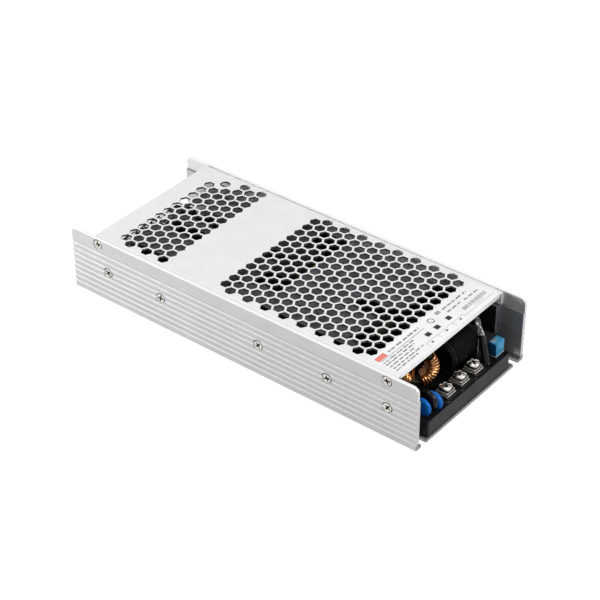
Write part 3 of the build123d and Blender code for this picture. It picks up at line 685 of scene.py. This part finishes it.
def lathe(work, matrix, rings, steps, recess=None):
    """A round form about local Z from rings of (radius, level). A third word says that the ring
    is cut by the recess, or that it lies in shadow and is painted dark. Faces deep in the recess
    are painted dark as shade too."""
    rows = []
    deep = set()
    for radius, level, *kind in rings:
        row = []
        for angle in turns(steps if radius > 0 else 1):
            x, y = radius * cos(angle), radius * sin(angle)
            z = recess(x, y, level) if "cut" in kind else level
            row.append(work.verts.new(matrix @ Vector((x, y, z))))
            if z < level - recess_shade or "dark" in kind:
                deep.add(row[-1])
        rows.append(row)
    for first, second in zip(rows, rows[1:]):
        for step in range(steps):
            after = (step + 1) % steps
            if len(first) == 1:
                corners = (first[0], second[step], second[after])
            elif len(second) == 1:
                corners = (first[after], first[step], second[0])
            else:
                corners = (first[step], second[step], second[after], first[after])
            face = work.faces.new(corners)
            face.material_index = int(all(corner in deep for corner in corners))


def frames_along(points):
    """Each point with two sides across the route, which don't twist."""
    side = None
    found = []
    for number, point in enumerate(points):
        ahead = points[min(number + 1, len(points) - 1)] - points[max(number - 1, 0)]
        ahead.normalize()
        if side is None:
            side = ahead.orthogonal()
        side = (side - ahead * side.dot(ahead)).normalized()
        found.append((point, side, ahead.cross(side)))
    return found


def ring_about(point, side, across, radius, steps):
    """A ring of points about a point, in the plane of its two sides."""
    return [point + (side * cos(turn) + across * sin(turn)) * radius for turn in turns(steps)]


def tube(work, points, radius, sides=10):
    """A round wire through points, closed at both ends."""
    loft(work, [ring_about(*frame_at, radius, sides) for frame_at in frames_along(points)])


# Screws and washers


def cross_inside(x, y, half_width, reach):
    """How far inside a cross a point lies."""
    x, y = abs(x), abs(y)
    return max(min(half_width - x, reach - y), min(half_width - y, reach - x))


def flat_recess(x, y, level):
    """The level at a place of a countersunk head, with its cross cut in."""
    inside = cross_inside(x, y, cross_half_width, cross_reach)
    return level - min(cross_depth, max(0, inside) / recess_slope)


def pan_recess(x, y, level):
    """The level at a place of a pan head, with its cross and its slot cut in."""
    inside = max(cross_inside(x, y, slot_half_width, pan_cross_reach), slot_half_width - abs(x))
    floor = pan_head_height - slot_depth
    return max(min(level, floor), level - max(0, inside) / recess_slope)


def fine_rings(reach, count, level):
    """Close rings across a head, so that its recess keeps its shape."""
    return [(reach * number / count, level(reach * number / count), "cut")
            for number in range(count + 1)]


def add_flat_screw(work, matrix, length):
    """A countersunk screw: its head's face, a ring about it painted dark as shadow, the cone and
    the shank.
    """
    top = -flat_head_sink
    rim = flat_head_radius
    under = top - flat_rim_drop
    ring_inside, ring_outside = (rim * share for share in flat_ring_shares)
    rings = fine_rings(rim * flat_middle_share, 20, lambda radius: top)
    rings += [(ring_inside, top), (ring_outside, top - flat_ring_drop, "dark"),
              (rim, under, "dark"), (flat_shank_radius, under - (rim - flat_shank_radius)),
              (flat_shank_radius, -length), (0, -length)]
    lathe(work, matrix, rings, 96, flat_recess)


def wall_screws(name, node):
    """The countersunk screws of a CAD node, each turned its own way, on both walls."""
    work = bmesh.new()
    for low, high in solid_boxes(node):
        middle = (low + high) / 2
        side = -1 if middle.y < 0 else 1
        face = low.y if side < 0 else high.y
        place = Matrix.Translation((middle.x, face, middle.z))
        turn = Matrix.Rotation(-side * pi / 2, 4, "X")
        spin = Matrix.Rotation(random.uniform(0, pi / 2), 4, "Z")
        add_flat_screw(work, place @ turn @ spin, high.y - low.y)
    keep(name, work, "nickel_screw", [node])


def add_pan_screw(work, matrix, radius, length):
    """A pan-head screw: its domed crown, round shoulder, a side painted dark as shadow, and
    shank.
    """
    def crown(reach):
        return pan_head_height - pan_crown * (reach / radius) ** 2

    crown_radius = radius * pan_crown_share
    rings = fine_rings(crown_radius, 24, crown)
    shoulder_steps = 4
    for step in range(1, shoulder_steps + 1):
        angle = step / shoulder_steps * pi / 2
        rings.append((crown_radius + (radius - crown_radius) * sin(angle),
                      crown(crown_radius) - pan_shoulder * (1 - cos(angle)), "cut"))
    rings += [(radius, pan_side_height), (radius, pan_shade_height, "dark"),
              (radius, pan_foot_height, "dark"), (radius * pan_foot_share, 0, "dark"),
              (flat_shank_radius, 0, "dark"), (flat_shank_radius, pan_head_height - length),
              (0, pan_head_height - length)]
    lathe(work, matrix, rings, 120, pan_recess)


def terminal_screws(name, node):
    """The pan-head screws of a CAD node, their slots turned nearly one way."""
    work = bmesh.new()
    for low, high in solid_boxes(node):
        middle = (low + high) / 2
        place = Matrix.Translation((middle.x, middle.y, high.z - pan_head_height))
        turn = slot_turn + random.uniform(-slot_spread, slot_spread)
        spin = Matrix.Rotation(turn, 4, "Z")
        add_pan_screw(work, place @ spin, (high.x - low.x) / 2, high.z - low.z)
    keep(name, work, "nickel_screw", [node])


def terminal_washers(name, node):
    """Square cupped washers: an eased plate with a lip along its far and near sides."""
    work = bmesh.new()
    for low, high in solid_boxes(node):
        lift = Vector((0, 0, washer_lip_share * (high.z - low.z)))
        soft_slab(work, low + lift, high - lift, washer_corner, washer_ease)
        middle = (low + high) / 2
        for side in (-1, 1):
            edge_y = middle.y + side * ((high.y - low.y) / 2 - washer_lip / 2)
            soft_slab(work, Vector((low.x + washer_lip, edge_y - washer_lip / 2, low.z)),
                      Vector((high.x - washer_lip, edge_y + washer_lip / 2, high.z)),
                      washer_lip_corner, washer_lip_ease)
    keep(name, work, "terminal_plate", [node])


def make_fasteners():
    wall_screws("side_screw_set", "side_screws")
    wall_screws("cover_screw_set", "cover_screws")
    for end in ("input", "output"):
        terminal_screws(f"{end}_screw_set", f"{end}_terminal_screws")
        terminal_washers(f"{end}_washer_set", f"{end}_terminal_washers")


# Parts of the front bay


def section_loop(inner, outer, half_width, corner, steps=6):
    """A round-cornered loop about the ring's section, as (distance from the axis, along it)."""
    loop = []
    for quarter, (radial, axial) in enumerate(((1, 1), (-1, 1), (-1, -1), (1, -1))):
        centre_r = outer - corner if radial > 0 else inner + corner
        centre_w = axial * (half_width - corner)
        for step in range(steps + 1):
            angle = (quarter + step / steps) * pi / 2
            loop.append((centre_r + corner * cos(angle), centre_w + corner * sin(angle)))
    return loop


def choke_point(turn, radius, offset):
    """A point by its angle about the choke's axis, its distance from it and its place along."""
    spoke = choke_along * cos(turn) + Vector((0, 0, sin(turn)))
    return choke_middle + spoke * radius + choke_axis * offset


def make_choke_windings():
    """Two copper windings on the ring, each wound as one wire, in two layers in the bore."""
    lead_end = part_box("input_choke_windings")[0].z
    work = bmesh.new()
    for half in (0, 1):
        start = half * pi + choke_lean - choke_sweep / 2
        points = []
        for number in range(choke_turns):
            bore = choke_bore - choke_layer * (number % 2)
            loop = section_loop(bore, choke_outer, choke_half_width, choke_corner)
            for place, (radius, offset) in enumerate(loop):
                turn = start + choke_sweep * (number + place / len(loop)) / choke_turns
                points.append(choke_point(turn, radius, offset))
        first, last = (Vector((tip.x, tip.y, lead_end)) for tip in (points[0], points[-1]))
        tube(work, [first, *points, last], choke_wire)
    keep("copper_turns", work, "copper_wire", ["input_choke_windings"], sharp=60.0)


def make_choke_core():
    """The coated ring inside the windings."""
    core = bmesh.new()
    section = section_loop(choke_bore + choke_core_gap, choke_outer - choke_core_gap,
                           choke_half_width - choke_core_gap, choke_corner - choke_core_gap)
    rows = [[core.verts.new(choke_point(turn, radius, offset)) for radius, offset in section]
            for turn in turns(72)]
    for first, second in zip(rows, rows[1:] + rows[:1]):
        for number in range(len(section)):
            after = (number + 1) % len(section)
            core.faces.new((first[number], first[after], second[after], second[number]))
    keep("choke_ring", core, "ferrite", ["input_choke_core"], finish="ring_coating")


def add_disc(work, box, shift, radius):
    """A dipped disc: round, with a full rim and nearly flat faces, on two legs."""
    low, high = box
    thick = (high.y - low.y) / 2
    middle = Vector(((low.x + high.x) / 2, (low.y + high.y) / 2, high.z - (high.x - low.x) / 2))
    middle += Vector(shift) * mm
    rings = []
    steps = 18
    for step in range(steps + 1):
        angle = pi * step / steps - pi / 2
        reach = radius * cos(angle) ** disc_fullness if 0 < step < steps else 0
        rings.append((reach, thick * sin(angle)))
    lathe(work, Matrix.Translation(middle) @ Matrix.Rotation(pi / 2, 4, "X"), rings, 72)
    for side in (-1, 1):
        x = middle.x + side * radius * disc_leg_share
        top = middle.z - radius * disc_leg_top_share
        tube(work, [Vector((x, middle.y, z)) for z in (top, low.z)], disc_leg_radius, 12)


def make_discs():
    """The two blue discs and the black one between them."""
    blue = bmesh.new()
    boxes = sorted(solid_boxes("surge_discs"), key=lambda box: box[0].y)
    for box, shift, radius in zip(boxes, blue_disc_shifts, blue_disc_radii):
        add_disc(blue, box, shift, radius)
    keep("dipped_blue_discs", blue, "blue_coating", ["surge_discs"])
    black = bmesh.new()
    add_disc(black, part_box("inrush_thermistor"), black_disc_shift, black_disc_radius)
    keep("dipped_black_disc", black, "black_coating", ["inrush_thermistor"])


def make_box_capacitor(low, high):
    """The moulded box and its two legs."""
    work = bmesh.new()
    foot = compound_top - box_sink
    soft_slab(work, Vector((low.x, low.y, foot)), high, box_corner, box_ease)
    middle = (low + high) / 2
    for side in (-1, 1):
        y = middle.y + side * box_leg_shift
        tube(work, [Vector((middle.x, y, z)) for z in (foot + box_leg_overlap, low.z)],
             box_leg_radius, 12)
    keep("box_capacitor_case", work, "film_case", ["film_capacitor"])


def make_box_mark(low, high):
    """The dab of resin on top of the box, as two flat domes."""
    work = bmesh.new()
    place = Vector((low.x, low.y, high.z)) + Vector((*dab_place, 0)) * mm
    steps = 6
    for reach_x, reach_y, shift_x, shift_y in dab_blobs:
        centre = place + Vector((shift_x, shift_y, 0)) * mm
        loft(work, [[centre + Vector((reach_x * cos(angle) * cos(turn),
                                      reach_y * cos(angle) * sin(turn),
                                      dab_height * sin(angle))) * mm for turn in turns(24)]
                    for angle in (step / steps * pi / 2 for step in range(steps))])
    keep("box_capacitor_mark", work, "film_case", finish="resin_dab")


def make_box_foot(low, high):
    """The pale rim where the box stands in the compound."""
    work = bmesh.new()
    margin = Vector((rim_margin, rim_margin, 0))
    soft_slab(work, Vector((low.x, low.y, compound_top - rim_sink)) - margin,
              Vector((high.x, high.y, compound_top + rim_height)) + margin, rim_corner, rim_ease)
    keep("box_capacitor_foot", work, "film_case", finish="resin_rim")


def spline_points(points, resolution=24):
    """Points read from the smooth spline that the given points steer."""
    data = bpy.data.curves.new("route", "CURVE")
    data.dimensions = "3D"
    data.resolution_u = resolution
    spline = data.splines.new("NURBS")
    spline.points.add(len(points) - 1)
    for place, point in zip(spline.points, points):
        place.co = (*(Vector(point) * mm), 1)
    spline.order_u = 3
    spline.use_endpoint_u = True
    curve = bpy.data.objects.new("route", data)
    mesh = bpy.data.meshes.new_from_object(curve)
    found = [vertex.co.copy() for vertex in mesh.vertices]
    bpy.data.objects.remove(curve)
    bpy.data.curves.remove(data)
    bpy.data.meshes.remove(mesh)
    return found


def make_sleeve(rise):
    """The wrinkled sleeve on the lead's rise."""
    work = bmesh.new()
    rings = []
    for number, frame_at in enumerate(rise):
        wrinkle = sum(size * sin(number * rate) for size, rate in sleeve_wrinkles)
        rings.append(ring_about(*frame_at, sleeve_radius * (1 + wrinkle), 20))
    loft(work, rings)
    keep("wrinkled_sleeve", work, "sleeve", ["lead_sleeve"])


def make_strands(bare):
    """The twisted tinned strands, looser with their length, and a stray one with solder on it."""
    work = bmesh.new()
    for start in turns(strand_count):
        points = []
        length = 0.0
        for step, (point, side, across) in enumerate(bare):
            length += (point - bare[max(step - 1, 0)][0]).length
            turn = start + strand_twist * length
            loose = strand_offset * (1 + strand_loosening * min(1, length / strand_fray))
            points.append(point + (side * cos(turn) + across * sin(turn)) * loose)
        tube(work, points, strand_radius, 8)
    stray = spline_points(stray_route)
    tube(work, stray, stray_radius, 8)
    tube(work, stray[len(stray) // 4:len(stray) // 2], stray_solder_radius)
    keep("tinned_strands", work, "lead_wire", ["earth_lead"], sharp=60.0)


def make_sleeve_cut(point, side, across):
    """The pale cut end of the sleeve."""
    work = bmesh.new()
    ahead = side.cross(across)
    loft(work, [ring_about(point + ahead * lift * mm, side, across, reach * mm, 24)
                for reach, lift in sleeve_cut_outline])
    keep("sleeve_cut", work, "lead_wire", finish="resin_rim")


def make_sleeve_foot(start):
    """The fillet of compound where the sleeve goes in."""
    work = bmesh.new()
    shift_x, shift_y = (shift * mm for shift in sleeve_foot_shift)
    place = Matrix.Translation((start.x + shift_x, start.y + shift_y, compound_top))
    rings = [(radius * mm, level * mm) for radius, level in sleeve_foot_outline]
    lathe(work, place, rings, 32)
    keep("sleeve_foot", work, "compound")


def make_lead():
    """The earth lead: its sleeve as far as it goes up the route, and bare strands from there."""
    route = frames_along(spline_points(lead_route))
    sleeve_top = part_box("lead_sleeve")[1].z + sleeve_extra
    top = max(range(len(route)), key=lambda number: route[number][0].z)
    rise = [frame_at for frame_at in route[:top] if frame_at[0].z <= sleeve_top]
    make_sleeve(rise)
    make_strands(route[len(rise) - strand_overlap:])
    make_sleeve_cut(*rise[-1])
    make_sleeve_foot(route[0][0])


def make_lying_cans():
    """The lying capacitors: a black sleeve with a crimped groove and a recessed end."""
    work = bmesh.new()
    for low, high in solid_boxes("input_capacitors"):
        radius = (high.z - low.z) / 2
        half = (high.y - low.y) / 2
        rings = [(radius * share, half - inset * mm) for share, inset in can_crimped_end]
        rings += [(radius * share, inset * mm - half) for share, inset in can_closed_end]
        turn = Matrix.Translation((low + high) / 2) @ Matrix.Rotation(pi / 2, 4, "X")
        lathe(work, turn, rings, 72)
    keep("lying_can_set", work, "can_black", ["input_capacitors"], finish="crimped_sleeve")


# The label, with places in millimetres


def print_shape(work, corners):
    """A thin shape of ink over the given corners."""
    loft(work, [[Vector((x * mm, y * mm, level)) for x, y in corners]
                for level in (label_top, label_top + ink_height)])


def print_slab(work, x0, x1, y0, y1):
    print_shape(work, ((x0, y0), (x1, y0), (x1, y1), (x0, y1)))


def print_ring(work, x, y, radius, wide, steps=32):
    angles = turns(steps)
    for first, last in zip(angles, angles[1:] + [2 * pi]):
        print_shape(work, [(x + reach * cos(angle), y + reach * sin(angle))
                           for reach, angle in ((radius, first), (radius, last),
                                                (radius - wide, last), (radius - wide, first))])


def word_row(work, x, y0, y1, tall):
    """A row of short bars where the real label has a line of print."""
    y = y0
    while y < y1:
        word = random.uniform(*word_lengths)
        end = min(y + word, y1)
        while y < end:
            stroke = random.uniform(*stroke_widths)
            low = random.choice(stroke_cuts) * tall
            print_slab(work, x - tall / 2 + low, x + tall / 2, y, min(y + stroke, end))
            y += stroke + stroke_gap
        y += word_gap


def bar_row(work):
    """The row of upright bars on the label's far side."""
    bar, end = bars_ends
    while bar < end:
        wide = random.choice(bar_widths)
        print_slab(work, *bars_reach, bar, bar + wide)
        bar += wide + random.choice(bar_gaps)


def make_label():
    """The label: its film, then plain fields, rules and bars of ink."""
    low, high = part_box("rating_label")
    film = bmesh.new()
    soft_slab(film, low, Vector((high.x, high.y, label_top)), label_corner, ink_height)
    keep("label_sheet", film, "label_film", ["rating_label"])
    dark, grey, red = bmesh.new(), bmesh.new(), bmesh.new()
    print_slab(red, *red_field)
    for line in (title_line, *near_lines, *far_lines):
        word_row(dark, *line)
    print_slab(dark, *title_rule)
    for ends in square_marks:
        print_slab(dark, *square_reach, *ends)
    print_ring(dark, *ring_mark)
    for y in terminal_dots:
        print_slab(dark, *dot_reach, y - dot_half_width, y + dot_half_width)
    bar_row(grey)
    for field in (grey_field, far_rule, *terminal_rules):
        print_slab(grey, *field)
    for y in terminal_ticks:
        print_slab(grey, *tick_reach, y, y + tick_width)
    keep("label_print_dark", dark, "label_film", finish="ink_dark")
    keep("label_print_grey", grey, "label_film", finish="ink_grey")
    keep("label_print_red", red, "label_film", finish="ink_red")


# Light and room


def white_rays(made):
    """One for the rays that show the white background: from the camera, metal or glass."""
    path = made.add("ShaderNodeLightPath")
    total = path.outputs["Is Camera Ray"]
    for name in ("Is Glossy Ray", "Is Transmission Ray"):
        total = made.either(total, path.outputs[name])
    return total


def make_world():
    """White to the camera and in reflections, a soft grey room to everything else."""
    world = bpy.data.worlds.new("room")
    bpy.context.scene.world = world
    world.use_nodes = True
    world.node_tree.nodes.clear()
    made = Nodes(world.node_tree)
    height = made.axis(made.add("ShaderNodeTexCoord").outputs["Generated"], "Z")
    ramp = made.add("ShaderNodeValToRGB")
    stops = ramp.color_ramp.elements
    stops[0].position = 0.45
    stops[0].color = (0.14, 0.14, 0.145, 1)
    stops[1].position = 0.95
    stops[1].color = (0.46, 0.46, 0.465, 1)
    made.join(made.rise(height, -1, 1), ramp.inputs["Fac"])
    room = made.add("ShaderNodeBackground")
    room.inputs["Strength"].default_value = 1.0
    made.join(ramp.outputs["Color"], room.inputs["Color"])
    seen = made.add("ShaderNodeBackground")
    seen.inputs["Color"].default_value = (1, 1, 1, 1)
    seen.inputs["Strength"].default_value = 1
    shown = made.choose(white_rays(made), room.outputs["Background"], seen.outputs["Background"])
    out = made.add("ShaderNodeOutputWorld")
    made.join(shown, out.inputs["Surface"])


def floor_finish():
    """Pale to the light, and white with a soft shadow to the rays that show the background."""
    made = Finish("floor")
    colour = made.blend(made.spread(made.noise(40), 0, 1), (0.54, 0.54, 0.54), (0.56, 0.56, 0.56))
    made.join(colour, made.shader.inputs["Base Color"])
    made.shader.inputs["Roughness"].default_value = 0.8
    shaded = made.add("ShaderNodeBsdfDiffuse")
    shaded.inputs["Color"].default_value = (0.35, 0.35, 0.35, 1)
    glow = made.add("ShaderNodeEmission")
    glow.inputs["Color"].default_value = (1, 1, 1, 1)
    glow.inputs["Strength"].default_value = 0.82
    total = made.add("ShaderNodeAddShader")
    made.join(shaded.outputs["BSDF"], total.inputs[0])
    made.join(glow.outputs["Emission"], total.inputs[1])
    shown = made.choose(white_rays(made), made.shader.outputs["BSDF"], total.outputs["Shader"])
    made.join(shown, made.tree.nodes["Material Output"].inputs["Surface"])
    return made.material


def make_floor():
    """A pale floor that shows white, with the object's soft shadow on it."""
    mesh = bpy.data.meshes.new("floor")
    reach = 3.0
    corners = [(-reach, -reach, 0), (reach, -reach, 0), (reach, reach, 0), (-reach, reach, 0)]
    mesh.from_pydata(corners, [], [(0, 1, 2, 3)])
    mesh.materials.append(floor_finish())
    floor = bpy.data.objects.new("floor", mesh)
    bpy.context.scene.collection.objects.link(floor)


def area_light(name, place, target, size, power, mirrored=True):
    """A rectangular lamp at a place, turned to its target. Unless mirrored, metal shows none."""
    data = bpy.data.lights.new(name, "AREA")
    data.shape = "RECTANGLE"
    data.size, data.size_y = size
    data.energy = power
    light = bpy.data.objects.new(name, data)
    light.location = place
    light.rotation_mode = "QUATERNION"
    light.rotation_quaternion = (Vector(target) - Vector(place)).to_track_quat("-Z", "Y")
    light.visible_glossy = mirrored
    bpy.context.scene.collection.objects.link(light)


def make_lights():
    area_light("key", place=(1.0, 0.3, 0.7), target=(0, 0, 0), size=(0.5, 0.5), power=12)
    area_light("top", place=(-0.1, -0.1, 1.2), target=(0, 0, 0), size=(0.9, 0.9), power=2.2)
    area_light("wash", place=(-0.36, -0.42, 0.12), target=(-0.05, -0.04, 0.02), size=(0.3, 0.15),
               power=3.6, mirrored=False)


bpy.context.scene.view_settings.view_transform = "Standard"
make_camera()
make_metals()
make_plastics()
make_small_finishes()
paint_frame()
make_fasteners()
make_choke_windings()
make_choke_core()
make_discs()
make_box_capacitor(*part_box("film_capacitor"))
make_box_mark(*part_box("film_capacitor"))
make_box_foot(*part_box("film_capacitor"))
make_lead()
make_lying_cans()
make_label()
make_world()
make_floor()
make_lights()
